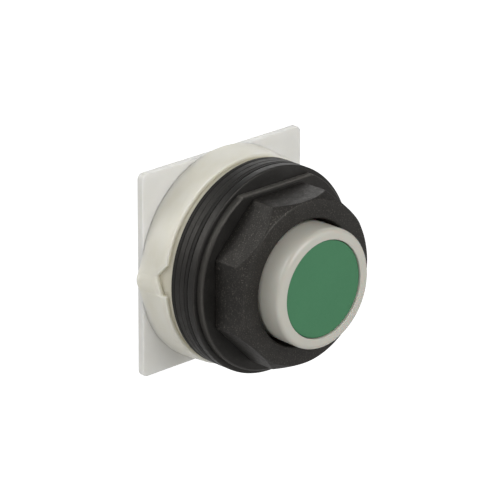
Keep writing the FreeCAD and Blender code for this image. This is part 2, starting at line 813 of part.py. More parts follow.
def make_plunger():
    at = lambda station: as_dim(station) - S.spigot_front
    blind = S.screw_core + S.hole_slack
    rear_blind = S.rear_screw_core + S.hole_slack
    stem, groove = S.stem_radius, S.clip_groove
    clip_front = S.clip_front - S.seat_gap
    clip_rear = S.clip_front + S.clip_thick + S.seat_gap
    return turned("plunger", S.spigot_front, [
        (blind, ZERO), (S.spigot_radius, ZERO), (S.spigot_radius, at(S.hub_rear)),
        (S.plunger_flange, at(S.hub_rear)), (S.plunger_flange, at(S.plunger_flange_rear)),
        (stem, at(S.plunger_flange_rear)), (stem, at(clip_front)), (groove, at(clip_front)),
        (groove, at(clip_rear)), (stem, at(clip_rear)), (stem, at(S.stem_rear - S.tip_edge)),
        (stem - S.tip_edge, at(S.stem_rear)), (rear_blind, at(S.stem_rear)),
        (rear_blind, at(S.rear_screw_tip - S.drill_on)), (ZERO, at(S.rear_screw_tip - S.drill_on)),
        (ZERO, at(S.screw_tip + S.drill_on)), (blind, at(S.screw_tip + S.drill_on))])


def make_stop_washer():
    return ring("stop_washer", S.bush_rear + S.seat_gap, S.clip_front - S.fit_gap,
                S.stem_radius + S.hole_slack, S.stop_washer_radius)


def make_e_clip():
    """A flat clip in the plunger's groove, open at the bottom, with three inner lugs."""
    body = ring("e_clip", S.clip_front, S.clip_front + S.clip_thick,
                S.stem_radius + S.clip_slack, S.clip_outer)
    lug = front_view_feature(body, "Pad", "clip_lug", box_outline(
        -S.clip_lug_half, S.clip_lug_half, S.clip_groove + S.clip_lug_gap,
        S.stem_radius + S.clip_lug_half), ZERO, S.clip_thick)
    around(body, lug, CORNERS, "clip_lugs")
    mouth = S.clip_groove - S.clip_mouth_slack
    front_view_feature(body, "Pocket", "clip_mouth", box_outline(
        -mouth, mouth, -(S.clip_outer + S.past), ZERO), ZERO, S.clip_thick)
    return body


def make_actuator_pad():
    at = lambda station: as_dim(station) - S.pad_hub_front
    return turned("actuator_pad", S.pad_hub_front, [
        (S.stem_radius + S.hole_slack, ZERO), (S.pad_hub, ZERO),
        (S.pad_hub, at(S.pad_rear - S.pad_disc_thick)), (S.pad_disc, at(S.pad_rear - S.pad_disc_thick)),
        (S.pad_disc, at(S.pad_rear - S.tip_edge)), (S.pad_disc - S.tip_edge, at(S.pad_rear)),
        (S.rear_screw_head + S.head_clear, at(S.pad_rear)),
        (S.rear_screw_head + S.head_clear, at(S.pad_rear - S.pad_recess)),
        (S.rear_screw_core + S.screw_clear, at(S.pad_rear - S.pad_recess)),
        (S.rear_screw_core + S.screw_clear, at(S.stem_rear + S.fit_gap)),
        (S.stem_radius + S.hole_slack, at(S.stem_rear + S.fit_gap))])


# ---------------------------------------------------------------------------------------------------------
# Rear plate and its hardware
# ---------------------------------------------------------------------------------------------------------
def make_rear_plate():
    half_wide, half_high = S.plate_wide / 2, S.plate_high / 2
    rim_depth = S.drum_rear - S.flange_rear
    body = new_body("rear_plate", S.flange_rear)
    front_view_feature(body, "Pad", "plate_sheet", box_outline(-half_wide, half_wide, -half_high, half_high),
                       rim_depth, S.plate_thick)
    corner = lambda edge: (abs(edge.BoundBox.YLength - S.plate_thick.value) < NEAR
                           and edge.BoundBox.XLength < NEAR and edge.BoundBox.ZLength < NEAR)
    dress(body, "Fillet", "plate_corners", [corner], S.plate_corner)

    def rim_outline(sketch):
        circle(sketch, ZERO, ZERO, S.rim_outer)
        circle(sketch, ZERO, ZERO, S.rim_inner)
    front_view_feature(body, "Pad", "plate_rim", rim_outline, ZERO, rim_depth + S.lap)
    whole = rim_depth + S.plate_thick
    front_view_feature(body, "Pocket", "plate_hole", circle_outline(ZERO, ZERO, S.plate_hole), ZERO, whole)
    across = S.screw_circle * COS_45
    hole = front_view_feature(body, "Pocket", "plate_screw_hole",
                              circle_outline(across, across, S.plate_screw_hole), ZERO, whole)
    around(body, hole, CORNERS, "plate_screw_holes")
    for side in (-1.0, 1.0):
        front_view_feature(body, "Pocket", "brass_seat_%s" % ("left" if side < 0 else "right"),
                           circle_outline(S.insert_offset * side, ZERO, S.brass_outer + S.fit_gap),
                           S.brass_front - S.flange_rear - S.brass_seat_deep, S.plate_thick + rim_depth)
    rear_rims = [lambda edge: (isinstance(edge.Curve, Part.Circle)
                               and abs(edge.Curve.Radius - S.plate_screw_hole.value) < NEAR
                               and abs(edge.Curve.Center.y - whole.value) < NEAR)]
    dress(body, "Chamfer", "plate_countersinks", rear_rims, S.plate_screw_head - S.plate_screw_core)
    return body


def make_plate_screws():
    """Four countersunk screws, each a solid of its own in one node."""
    rear = (S.drum_rear + S.plate_thick - S.seat_gap).value
    tip = S.plate_screw_tip.value
    head = S.plate_screw_head.value
    core = S.plate_screw_core.value
    bevel = S.tip_edge.value
    sink = head - core
    across = S.screw_circle.value * COS_45
    screws = []
    for step in range(CORNERS):
        x = across * (1 if step in (0, 3) else -1)
        z = across * (1 if step in (0, 1) else -1)
        back = Vector(0, 1, 0)
        shank = Part.makeCylinder(core, rear - tip - bevel, Vector(x, tip + bevel, z), back)
        point = Part.makeCone(core - bevel, core, bevel, Vector(x, tip, z), back)
        cone = Part.makeCone(core, head, sink, Vector(x, rear - sink, z), back)
        screw = shank.fuse([point, cone]).removeSplitter()
        slot_arm, slot_bar, slot_deep = head * SUNK_SLOT_LONG, head * SUNK_SLOT_WIDE, sink * SUNK_SLOT_DEEP
        for wide, tall in ((slot_arm, slot_bar), (slot_bar, slot_arm)):
            screw = screw.cut(Part.makeBox(wide, slot_deep + 1.0, tall,
                                           Vector(x - wide / 2, rear - slot_deep, z - tall / 2)))
        screws.append(screw)
    return group_feature("plate_screws", screws)


def make_brass_inserts():
    """Two press-in brass inserts with a turned waist and a tapped bore."""
    front, outer = S.brass_front.value, S.brass_outer.value
    rear = (S.drum_rear + S.plate_thick - S.brass_sink).value
    bore = S.brass_bore.value
    inserts = []
    for side in (-1.0, 1.0):
        x = S.insert_offset.value * side
        back = Vector(0, 1, 0)
        barrel = Part.makeCylinder(outer, rear - front, Vector(x, front, 0), back)
        waist_front, waist = front + (rear - front) * WAIST_START, (rear - front) * WAIST_LONG
        collar = Part.makeCylinder(outer + 1, waist, Vector(x, waist_front, 0), back).cut(
            Part.makeCylinder(outer - S.brass_waist_deep.value, waist, Vector(x, waist_front, 0), back))
        hole = Part.makeCylinder(bore, rear - front, Vector(x, front, 0), back)
        inserts.append(barrel.cut([collar, hole]).removeSplitter())
    return group_feature("threaded_inserts", inserts)


def group_feature(label, solids):
    """One node that holds several separate solids."""
    group = doc.addObject("Part::Feature", label)
    group.Label = label
    group.Shape = Part.makeCompound(solids)
    return group


# ---------------------------------------------------------------------------------------------------------
# Build, check and write every node
# ---------------------------------------------------------------------------------------------------------
def build():
    nodes = [make_drum_shell(), make_o_ring(), make_bushing(), make_guide_bush()]
    nodes += make_stack()
    nodes += [make_front_disc(), make_thrust_washer(), make_ring_nut()]
    nodes += [make_wiper_seal(), make_boot(), make_clamp_ring(), make_seat_washer(), make_return_spring()]
    nodes += [make_cap(), make_insert(), make_plunger(), make_stop_washer(), make_e_clip(),
              make_actuator_pad()]
    nodes.append(pan_screw("cap_screw", S.screw_seat, S.screw_head, S.screw_head_thick, S.screw_core,
                           S.screw_tip, facing=-1))
    nodes.append(pan_screw("actuator_screw", S.pad_rear - S.pad_recess, S.rear_screw_head,
                           S.rear_screw_head_thick, S.rear_screw_core, S.rear_screw_tip, facing=1))
    nodes += [make_rear_plate(), make_plate_screws(), make_brass_inserts()]
    return nodes


def check_and_write(nodes):
    doc.recompute()
    for item in doc.Objects:
        if "Invalid" in item.State or "Error" in item.State:
            raise RuntimeError("%s is %s" % (item.Name, item.State))
    for node in nodes:
        shape = node.Shape
        if shape.isNull() or not shape.isValid() or not shape.Solids:
            raise RuntimeError("%s has no valid solid" % node.Label)
    for node in nodes:
        node.Shape.exportStep("parts/%s.step" % node.Label)
        box = node.Shape.BoundBox
        print("%-20s solids %d  volume %9.2f  y %.2f..%.2f" % (
            node.Label, len(node.Shape.Solids), node.Shape.Volume, box.YMin, box.YMax))


check_and_write(build())
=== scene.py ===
import math

import bmesh
import bpy
from mathutils import Matrix, Vector


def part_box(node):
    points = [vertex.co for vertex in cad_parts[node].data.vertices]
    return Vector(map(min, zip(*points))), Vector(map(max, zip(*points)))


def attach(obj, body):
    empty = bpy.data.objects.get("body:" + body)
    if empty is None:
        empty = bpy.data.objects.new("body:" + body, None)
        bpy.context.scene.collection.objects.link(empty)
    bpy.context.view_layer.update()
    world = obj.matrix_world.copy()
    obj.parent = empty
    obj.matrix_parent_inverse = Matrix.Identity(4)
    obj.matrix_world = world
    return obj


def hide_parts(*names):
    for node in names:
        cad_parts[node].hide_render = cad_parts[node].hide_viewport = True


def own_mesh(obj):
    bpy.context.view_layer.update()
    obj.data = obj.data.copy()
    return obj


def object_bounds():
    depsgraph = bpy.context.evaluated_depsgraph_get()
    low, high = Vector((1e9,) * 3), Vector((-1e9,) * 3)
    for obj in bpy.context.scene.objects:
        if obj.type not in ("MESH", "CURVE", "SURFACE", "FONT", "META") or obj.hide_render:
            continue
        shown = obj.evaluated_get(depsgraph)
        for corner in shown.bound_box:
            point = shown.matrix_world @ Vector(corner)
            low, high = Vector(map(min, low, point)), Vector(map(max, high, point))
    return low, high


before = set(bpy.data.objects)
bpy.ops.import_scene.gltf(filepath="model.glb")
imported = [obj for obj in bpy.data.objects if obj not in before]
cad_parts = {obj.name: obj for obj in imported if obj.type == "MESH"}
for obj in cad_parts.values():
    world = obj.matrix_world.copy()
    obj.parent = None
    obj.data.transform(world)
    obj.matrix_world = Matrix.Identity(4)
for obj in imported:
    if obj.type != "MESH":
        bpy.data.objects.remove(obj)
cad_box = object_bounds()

MM = 0.001
FULL_TURN = 2.0 * math.pi
EIGHTH = FULL_TURN / 8.0
NINE_O_CLOCK = math.pi

TURN_STEPS = 192               # points round a plain turned piece
ROD_STEPS = 48                 # and round a drilled hole
ROUNDING_STEPS = 5             # steps in each rounded corner of a section
WASHER_ROUNDING_STEPS = 4
ROUNDING_ROOM = 0.48           # the share of a section's edge that one rounding may use
FLAT_LEAD = 1.4                # the point that keeps the flat beside a rounding flat, in roundings
MERGE_METRES = 2e-6
NEEDLE_METRES = 1e-6
NOT_ZERO = 1e-9
CREASE_DEGREES = 35.0


def extent(node):
    """A CAD node's lowest and highest corners at rest, in millimetres."""
    low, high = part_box(node)
    return low / MM, high / MM


def depth_span(node):
    """Where a CAD node begins and ends along Y, in millimetres."""
    low, high = extent(node)
    return low.y, high.y


def radius_of(node):
    """The outer radius of a round CAD node, in millimetres."""
    return extent(node)[1].x


# ---------------------------------------------------------------------------------------------------------
# Mesh building
# ---------------------------------------------------------------------------------------------------------
def soften(corners, steps=ROUNDING_STEPS, closed=True):
    """Turns (radius, depth, rounding) corners into points, with each corner rounded off."""
    points = []
    total = len(corners)
    for index, (radius, depth, rounding) in enumerate(corners):
        here = Vector((radius, depth))
        at_end = not closed and index in (0, total - 1)
        if at_end or rounding <= 0.0:
            points.append(here)
            continue
        before = Vector(corners[index - 1][:2]) - here
        after = Vector(corners[(index + 1) % total][:2]) - here
        room = ROUNDING_ROOM * min(before.length, after.length)
        reach = min(rounding, room)
        hold = min(rounding * FLAT_LEAD, room)
        toward, away = before.normalized(), after.normalized()
        points.append(here + toward * hold)
        for step in range(steps + 1):
            share = step / steps
            points.append(here + toward * reach * (1.0 - share) ** 2 + away * reach * share ** 2)
        points.append(here + away * hold)
    return [(point.x, point.y) for point in points]


def even_angles(count=TURN_STEPS):
    """Angles evenly spread over a full turn."""
    return [FULL_TURN * step / count for step in range(count)]


def finish_mesh(name, points, faces):
    """Makes an object from points in millimetres, merges what coincides and turns every face outward."""
    mesh = bpy.data.meshes.new(name)
    mesh.from_pydata([Vector(point) * MM for point in points], [], faces)
    work = bmesh.new()
    work.from_mesh(mesh)
    bmesh.ops.remove_doubles(work, verts=work.verts, dist=MERGE_METRES)
    bmesh.ops.dissolve_degenerate(work, edges=work.edges, dist=NEEDLE_METRES)
    loose = [vert for vert in work.verts if not vert.link_faces]
    bmesh.ops.delete(work, geom=loose, context="VERTS")
    bmesh.ops.recalc_face_normals(work, faces=work.faces)
    for face in work.faces:
        face.smooth = True
    work.to_mesh(mesh)
    work.free()
    piece = bpy.data.objects.new(name, mesh)
    bpy.context.scene.collection.objects.link(piece)
    return piece


def lathe(name, section_at, angles=None, closed=True):
    """Joins one section of (radius, depth) points per angle into a skin round the Y axis."""
    angles = angles or even_angles()
    points, faces = [], []
    size = 0
    for angle in angles:
        section = section_at(angle)
        size = len(section)
        points += [(radius * math.cos(angle), depth, radius * math.sin(angle)) for radius, depth in section]
    turns = len(angles)
    for turn in range(turns):
        near, far = turn * size, ((turn + 1) % turns) * size
        for step in range(size if closed else size - 1):
            after = (step + 1) % size
            faces.append((near + step, near + after, far + after, far + step))
    return finish_mesh(name, points, faces)


def lathe_plain(name, corners, closed=True, count=TURN_STEPS):
    """A skin whose section is the same at every angle."""
    section = soften(corners, closed=closed)
    return lathe(name, lambda angle: section, even_angles(count), closed)


def place(piece, body, node):
    """Says what the piece moves with, and hides the CAD node it stands for."""
    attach(piece, body)
    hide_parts(node)
    return piece


def paint(piece, material):
    """Gives the whole piece one material."""
    piece.data.materials.clear()
    piece.data.materials.append(material)
    return piece


def cut_with(piece, cutters):
    """Cuts closed meshes out of a piece and leaves the result as its plain mesh."""
    for cutter in cutters:
        cut = piece.modifiers.new("cut", "BOOLEAN")
        cut.operation = "DIFFERENCE"
        cut.solver = "EXACT"
        cut.object = cutter
    bpy.context.view_layer.update()
    graph = bpy.context.evaluated_depsgraph_get()
    result = bpy.data.meshes.new_from_object(piece.evaluated_get(graph))
    piece.modifiers.clear()
    piece.data = result
    for cutter in cutters:
        bpy.data.objects.remove(cutter)
    return piece


def shade_by_angle(piece):
    """Smooth shading, with the edges sharper than the crease angle left crisp."""
    work = bmesh.new()
    work.from_mesh(piece.data)
    limit = math.radians(CREASE_DEGREES)
    for face in work.faces:
        face.smooth = True
    for edge in work.edges:
        edge.smooth = len(edge.link_faces) == 2 and edge.calc_face_angle(0.0) < limit
    work.to_mesh(piece.data)
    work.free()
    return piece


# ---------------------------------------------------------------------------------------------------------
# Materials
# ---------------------------------------------------------------------------------------------------------
class Finish:
    """A node material round one Principled shader, with helpers for what varies over the surface."""

    def __init__(self, name, colour, roughness, **sockets):
        self.material = bpy.data.materials.new(name)
        self.material.use_nodes = True
        self.tree = self.material.node_tree
        self.shader = self.tree.nodes["Principled BSDF"]
        self.shader.inputs["Base Color"].default_value = (*colour, 1.0)
        self.shader.inputs["Roughness"].default_value = roughness
        for socket, value in sockets.items():
            self.shader.inputs[socket.replace("_", " ")].default_value = value
        self.place = self.tree.nodes.new("ShaderNodeTexCoord").outputs["Object"]

    @classmethod
    def wrap(cls, material):
        """Takes up a material that is already there, to add to it."""
        finish = cls.__new__(cls)
        finish.material = material
        finish.tree = material.node_tree
        finish.shader = finish.tree.nodes["Principled BSDF"]
        finish.place = finish.tree.nodes.new("ShaderNodeTexCoord").outputs["Object"]
        return finish

    def link(self, source, target):
        """Joins an output to an input."""
        self.tree.links.new(source, target)

    def times(self, first, second):
        """The product of two values."""
        made = self.node("ShaderNodeMath", operation="MULTIPLY")
        self.link(first, made.inputs[0])
        self.link(second, made.inputs[1])
        return made.outputs[0]

    def node(self, kind, **values):
        """A new node with some of its settings changed."""
        made = self.tree.nodes.new(kind)
        for key, value in values.items():
            setattr(made, key, value)
        return made

    def stretched(self, scale):
        """The surface's own place, scaled differently along X, Y and Z."""
        mapping = self.node("ShaderNodeMapping")
        mapping.inputs["Scale"].default_value = scale
        self.link(self.place, mapping.inputs["Vector"])
        return mapping.outputs["Vector"]

    def noise(self, grain_mm, detail=3.0, roughness=0.55, vector=None):
        """Noise whose features are about grain_mm across."""
        made = self.node("ShaderNodeTexNoise")
        made.inputs["Scale"].default_value = 1.0 / (grain_mm * MM)
        made.inputs["Detail"].default_value = detail
        made.inputs["Roughness"].default_value = roughness
        self.link(vector or self.place, made.inputs["Vector"])
        return made.outputs["Fac"]

    def blend(self, source, first, second, low=0.3, high=0.7):
        """Goes from one colour to another as a value rises from low to high."""
        return self.mix(self.spread(source, 0.0, 1.0, low, high), first, second)

    def spread(self, source, low, high, source_low=0.3, source_high=0.7, smooth=False):
        """Maps a value onto a range."""
        made = self.node("ShaderNodeMapRange", interpolation_type="SMOOTHSTEP" if smooth else "LINEAR")
        made.inputs["From Min"].default_value = source_low
        made.inputs["From Max"].default_value = source_high
        made.inputs["To Min"].default_value = low
        made.inputs["To Max"].default_value = high
        self.link(source, made.inputs["Value"])
        return made.outputs["Result"]

    def length(self, vector):
        """How far a place is from the origin."""
        made = self.node("ShaderNodeVectorMath", operation="LENGTH")
        self.link(vector, made.inputs[0])
        return made.outputs["Value"]

    def between(self, share, first, second):
        """A value that goes from an output to a number as the share rises from 0 to 1."""
        made = self.node("ShaderNodeMix", data_type="FLOAT")
        self.link(share, made.inputs[0])
        self.link(first, made.inputs[2])
        made.inputs[3].default_value = second
        return made.outputs[0]

    def mix(self, share, first, second):
        """Goes from one colour to another as the share rises from 0 to 1. Each is a value or an output."""
        made = self.node("ShaderNodeMix", data_type="RGBA")
        self.link(share, made.inputs[0])
        for socket, colour in ((6, first), (7, second)):
            if isinstance(colour, tuple):
                made.inputs[socket].default_value = (*colour, 1.0)
            else:
                self.link(colour, made.inputs[socket])
        return made.outputs[2]

    def bump(self, layers):
        """Stacks (height output, strength, depth in millimetres) layers of relief."""
        normal = None
        for height, strength, depth_mm in layers:
            made = self.node("ShaderNodeBump")
            made.inputs["Strength"].default_value = strength
            made.inputs["Distance"].default_value = depth_mm * MM
            self.link(height, made.inputs["Height"])
            if normal is not None:
                self.link(normal, made.inputs["Normal"])
            normal = made.outputs["Normal"]
        self.link(normal, self.shader.inputs["Normal"])

    def colour_from(self, output):
        """Lets an output set the colour."""
        self.link(output, self.shader.inputs["Base Color"])

    def roughness_from(self, output):
        """Lets an output set the roughness."""
        self.link(output, self.shader.inputs["Roughness"])


WARM_GLINT = (1.0, 0.95, 0.88, 1.0)
ACROSS_AXIS = (1.0, 0.0, 1.0)          # keeps X and Z only, so a length is a radius
MOTTLE = 0.35


def moulded_black(name, colour, glint_colour, roughness, grain_mm, relief_mm, speckle=0.4):
    """Black plastic with spark-eroded grain, faint mottling and fine pale specks painted in as glints off
    the grain.
    """
    finish = Finish(name, colour, roughness, Specular_IOR_Level=0.4, Specular_Tint=WARM_GLINT)
    cloud = finish.noise(3.5, detail=4.0)
    dark = tuple(channel * (1.0 - MOTTLE) for channel in colour)
    pale = tuple(channel * (1.0 + MOTTLE) for channel in colour)
    body = finish.blend(cloud, dark, pale)
    speck = finish.noise(grain_mm * 0.8, detail=1.0)
    # pale specks painted into the colour as glints off the grain
    finish.colour_from(finish.mix(finish.spread(speck, 0.0, speckle, 0.58, 0.74), body, glint_colour))
    finish.roughness_from(finish.spread(finish.noise(1.3), roughness - 0.06, roughness + 0.08))
    finish.bump([(finish.noise(grain_mm, detail=2.0), 0.9, relief_mm),
                 (finish.noise(2.2), 0.3, relief_mm)])
    return finish.material


# Painted highlight on the washer's rim and the top of its flat, where the light catches them.
WASHER_RIM_HIGHLIGHT = (0.036, 0.0345, 0.031)
WASHER_FLAT_HIGHLIGHT = (0.09, 0.086, 0.078)
HIGHLIGHT_BAND_WIDTH = 0.35
HIGHLIGHT_BAND_FULL = 0.1                 # millimetres inside the edge where the painted highlight is as pale as it gets


def paint_washer_highlights(material):
    """The washer's rim and the top of its flat get a painted highlight: paler, in a band that fades inward.
    """
    finish = Finish.wrap(material)
    body = finish.shader.inputs["Base Color"].links[0].from_socket
    radius, flat = radius_of("thrust_washer"), extent("thrust_washer")[1].z
    from_axis = finish.length(finish.stretched(ACROSS_AXIS))
    height = finish.node("ShaderNodeSeparateXYZ")
    finish.link(finish.place, height.inputs[0])
    patchy = finish.spread(finish.noise(1.4), 0.7, 1.0)
    # painted highlight bands on the rim and on the top of the flat
    for reach, edge, pale in ((from_axis, radius, WASHER_RIM_HIGHLIGHT),
                              (height.outputs["Z"], flat, WASHER_FLAT_HIGHLIGHT)):
        band = finish.spread(reach, 0.0, 1.0, (edge - HIGHLIGHT_BAND_WIDTH) * MM, (edge - HIGHLIGHT_BAND_FULL) * MM)
        body = finish.mix(finish.times(band, patchy), body, pale)
    finish.colour_from(body)
    return material


def rubber(name, colour, roughness=0.62):
    """Matt rubber with a dusty bloom."""
    finish = Finish(name, colour, roughness, Specular_IOR_Level=0.28, Specular_Tint=WARM_GLINT)
    bloom = finish.noise(1.8, detail=5.0, roughness=0.65)
    dusty = tuple(channel * 1.7 + 0.004 for channel in colour)
    finish.colour_from(finish.blend(bloom, colour, dusty, 0.35, 0.75))
    finish.roughness_from(finish.spread(bloom, roughness - 0.08, roughness + 0.1))
    finish.bump([(finish.noise(0.22), 0.5, 0.012), (finish.noise(1.1), 0.4, 0.02)])
    return finish.material


NYLON_IOR = 1.53
NYLON_SCATTER_TINT = (1.0, 0.99, 0.9)


def milky_nylon(name, colour, warm, scatter, scatter_mm, roughness=0.4):
    """Natural nylon: light soaks into it, with faint flow marks and a satin skin."""
    finish = Finish(name, colour, roughness, Subsurface_Weight=scatter,
                    Subsurface_Scale=scatter_mm * MM, IOR=NYLON_IOR)
    finish.shader.inputs["Subsurface Radius"].default_value = NYLON_SCATTER_TINT
    flow = finish.noise(7.0, detail=3.0, vector=finish.stretched((1.0, 2.4, 1.0)))
    finish.colour_from(finish.blend(flow, warm, colour, 0.3, 0.62))
    finish.roughness_from(finish.spread(finish.noise(2.0), roughness - 0.07, roughness + 0.09))
    finish.bump([(finish.noise(0.35), 0.35, 0.006), (flow, 0.5, 0.08)])
    return finish.material


# Painted shade for the drum's neck, which looks darker because it is thin and backed by black.
NECK_PAINTED_SHADE = (0.57, 0.54, 0.435)
NECK_FADE = (0.1, 0.6)         # millimetres outside the neck where its painted shade starts and ends


def shade_neck(material):
    """Painted shade: the drum's neck is thin and backed by black, so it is coloured darker and yellower than
    the wall.
    """
    finish = Finish.wrap(material)
    wall = finish.shader.inputs["Base Color"].links[0].from_socket
    from_axis = finish.length(finish.stretched(ACROSS_AXIS))
    start, end = ((NECK_RADIUS + reach) * MM for reach in NECK_FADE)
    on_wall = finish.spread(from_axis, 0.0, 1.0, start, end)
    finish.colour_from(finish.mix(on_wall, NECK_PAINTED_SHADE, wall))
    return material


def gloss_moulding(name, colour, shade, roughness=0.22):
    """Light moulded plastic with a soft gloss and a barely uneven skin."""
    finish = Finish(name, colour, roughness, Subsurface_Weight=0.12, Subsurface_Scale=0.4 * MM)
    tone = finish.noise(9.0, detail=1.0)
    finish.colour_from(finish.blend(tone, shade, colour, 0.1, 0.9))
    finish.roughness_from(finish.spread(tone, roughness - 0.03, roughness + 0.03, 0.1, 0.9))
    finish.bump([(finish.noise(0.25), 0.3, 0.002)])
    return finish.material


def matt_colour(name, colour, shade, roughness):
    """The coloured face: dense matt plastic with a fine dry grain."""
    finish = Finish(name, colour, roughness, Specular_IOR_Level=0.3)
    tone = finish.noise(4.5, detail=4.0)
    finish.colour_from(finish.blend(tone, shade, colour))
    finish.roughness_from(finish.spread(finish.noise(0.6), roughness - 0.06, roughness + 0.06))
    finish.bump([(finish.noise(0.16), 0.5, 0.006)])
    return finish.material


def metal(name, colour, shade, roughness, grain_scale=(1.0, 1.0, 1.0)):
    """Plated or turned metal with fine tool marks."""
    finish = Finish(name, colour, roughness, Metallic=1.0)
    tone = finish.noise(1.6, detail=5.0)
    finish.colour_from(finish.blend(tone, shade, colour, 0.3, 0.65))
    marks = finish.noise(0.3, detail=2.0, vector=finish.stretched(grain_scale))
    finish.roughness_from(finish.spread(marks, roughness - 0.08, roughness + 0.14))
    finish.bump([(marks, 0.4, 0.008)])
    return finish.material


def make_materials():
    """Every finish by its short name."""
    return {
        "nut": moulded_black(
            "nut_grained_black", (0.0092, 0.0087, 0.0080), (0.115, 0.105, 0.090), 0.5, 0.34, 0.03, 0.55),
        "washer": paint_washer_highlights(moulded_black(
            "washer_satin_black", (0.008, 0.0077, 0.0072), (0.03, 0.028, 0.025), 0.48, 0.4, 0.01)),
        "disc": moulded_black(
            "disc_satin_black", (0.008, 0.0078, 0.0075), (0.025, 0.024, 0.023), 0.44, 0.4, 0.01),
        "spacer": moulded_black(
            "spacer_black", (0.007, 0.0067, 0.0064), (0.02, 0.019, 0.018), 0.5, 0.5, 0.006),
        "bushing": moulded_black(
            "bushing_black", (0.009, 0.0086, 0.008), (0.03, 0.028, 0.026), 0.45, 0.35, 0.01),
        "rubber": rubber("gasket_rubber", (0.0065, 0.0064, 0.0062)),
        "boot": rubber("boot_rubber", (0.014, 0.011, 0.009), 0.7),
        "drum": shade_neck(milky_nylon(
            "drum_nylon", (0.675, 0.66, 0.59), (0.645, 0.625, 0.54), 0.85, 2.6)),
        "plate": milky_nylon("plate_nylon", (0.655, 0.649, 0.624), (0.63, 0.623, 0.595), 0.7, 2.4, 0.38),
        "cap": gloss_moulding("cap_light_grey", (0.457, 0.444, 0.392), (0.445, 0.432, 0.380)),
        "green": matt_colour("insert_green", (0.046, 0.167, 0.079), (0.044, 0.160, 0.076), 0.5),
        "acetal": gloss_moulding("white_acetal", (0.66, 0.66, 0.63), (0.63, 0.63, 0.60), 0.35),
        "steel": metal("zinc_plated_steel", (0.66, 0.66, 0.64), (0.52, 0.52, 0.50), 0.34),
        "spring": metal("spring_wire", (0.56, 0.56, 0.55), (0.42, 0.42, 0.41), 0.28, (1.0, 6.0, 1.0)),
        "brass": metal("turned_brass", (0.74, 0.54, 0.25), (0.62, 0.43, 0.18), 0.3, (1.0, 5.0, 1.0)),
    }


# ---------------------------------------------------------------------------------------------------------
# Clamp parts in front of the panel
# ---------------------------------------------------------------------------------------------------------
NUT_FACE_RADIUS = 16.85
NUT_CHAMFER_SLOPE = 1.35 / 1.9
NUT_MOUTH_RADIUS = 13.05
NUT_BORE_RADIUS = 15.1
NUT_LIP_THICK = 1.45
NUT_BORE_CHAMFER = 0.4
NUT_CORNER_ROUND = 0.45
NUT_FOOT_RADIUS = 17.85        # the corners are turned down to this at the washer
NUT_FOOT_SLOPE = 0.5
NUT_FOOT_EDGE = 0.12


def octagon_radius(angle, apothem, corner_round):
    """How far an octagon with rounded corners reaches in a direction.

    Its flats face up, down, sideways and half way between.
    """
    off_flat = (angle + EIGHTH / 2.0) % EIGHTH - EIGHTH / 2.0
    off_corner = EIGHTH / 2.0 - abs(off_flat)
    centre = (apothem - corner_round) / math.cos(EIGHTH / 2.0)
    blend_starts = math.atan2(corner_round * math.sin(EIGHTH / 2.0),
                              centre + corner_round * math.cos(EIGHTH / 2.0))
    if off_corner >= blend_starts:
        return apothem / math.cos(off_flat)
    return centre * math.cos(off_corner) + math.sqrt(
        corner_round ** 2 - (centre * math.sin(off_corner)) ** 2)


def octagon_angles():
    """Angles close together at the corners and evenly spread along the flats."""
    side_degrees, even_steps = 45.0, 30
    corner = -side_degrees / 2.0
    offsets = [corner + step * side_degrees / even_steps for step in range(even_steps)]
    crowded = [corner + step for step in (0.15, 0.3, 0.45, 0.6, 0.8, 1.0, 1.2)]
    one_side = sorted(set(offsets + crowded + [-step for step in crowded]))
    return [math.radians(side_degrees * side + offset) for side in range(8) for offset in one_side]


def make_ring_nut(looks):
    """The eight-sided nut: a bevelled front face, a lip inside the mouth and a turned-down foot."""
    front, rear = depth_span("ring_nut")
    apothem = extent("ring_nut")[1].z

    def section(angle):
        reach = octagon_radius(angle, apothem, NUT_CORNER_ROUND)
        chamfer_end = front + (reach - NUT_FACE_RADIUS) / NUT_CHAMFER_SLOPE
        foot = min(reach, NUT_FOOT_RADIUS)
        foot_depth = rear - max(NUT_FOOT_EDGE, (reach - foot) * NUT_FOOT_SLOPE)
        return soften([
            (NUT_MOUTH_RADIUS, front, 0.35),
            (NUT_FACE_RADIUS, front, 0.3),
            (reach, chamfer_end, 0.16),
            (reach, foot_depth, 0.1),
            (min(foot, reach - NUT_FOOT_EDGE), rear, 0.08),
            (NUT_BORE_RADIUS + NUT_BORE_CHAMFER, rear, 0.05),
            (NUT_BORE_RADIUS, rear - NUT_BORE_CHAMFER, 0.05),
            (NUT_BORE_RADIUS, front + NUT_LIP_THICK, 0.2),
            (NUT_MOUTH_RADIUS, front + NUT_LIP_THICK, 0.1),
        ])
    piece = lathe("ring_nut_body", section, octagon_angles())
    return paint(place(piece, "ring_nut", "ring_nut"), looks["nut"])


RING_BORE_RADIUS = 15.15
WASHER_RIM_EDGE = 0.35
WASHER_FLAT_EDGE = 0.45
SLOT_TOP = 17.75
SLOT_HALF_WIDE = 2.6
DISC_SEAT = 0.08               # brings the front disc's rear edge close to the gasket, so no light shows
KINK_SPREAD = 0.004            # radians between the angles at a sharp change of outline


def flat_topped_angles(radius, flat_height):
    """Even angles, and the two where a round rim turns into its flat."""
    turn = math.asin(flat_height / radius)
    kinks = [turn - KINK_SPREAD, turn, turn + KINK_SPREAD]
    kinks += [math.pi - kink for kink in kinks]
    return sorted(even_angles() + kinks)


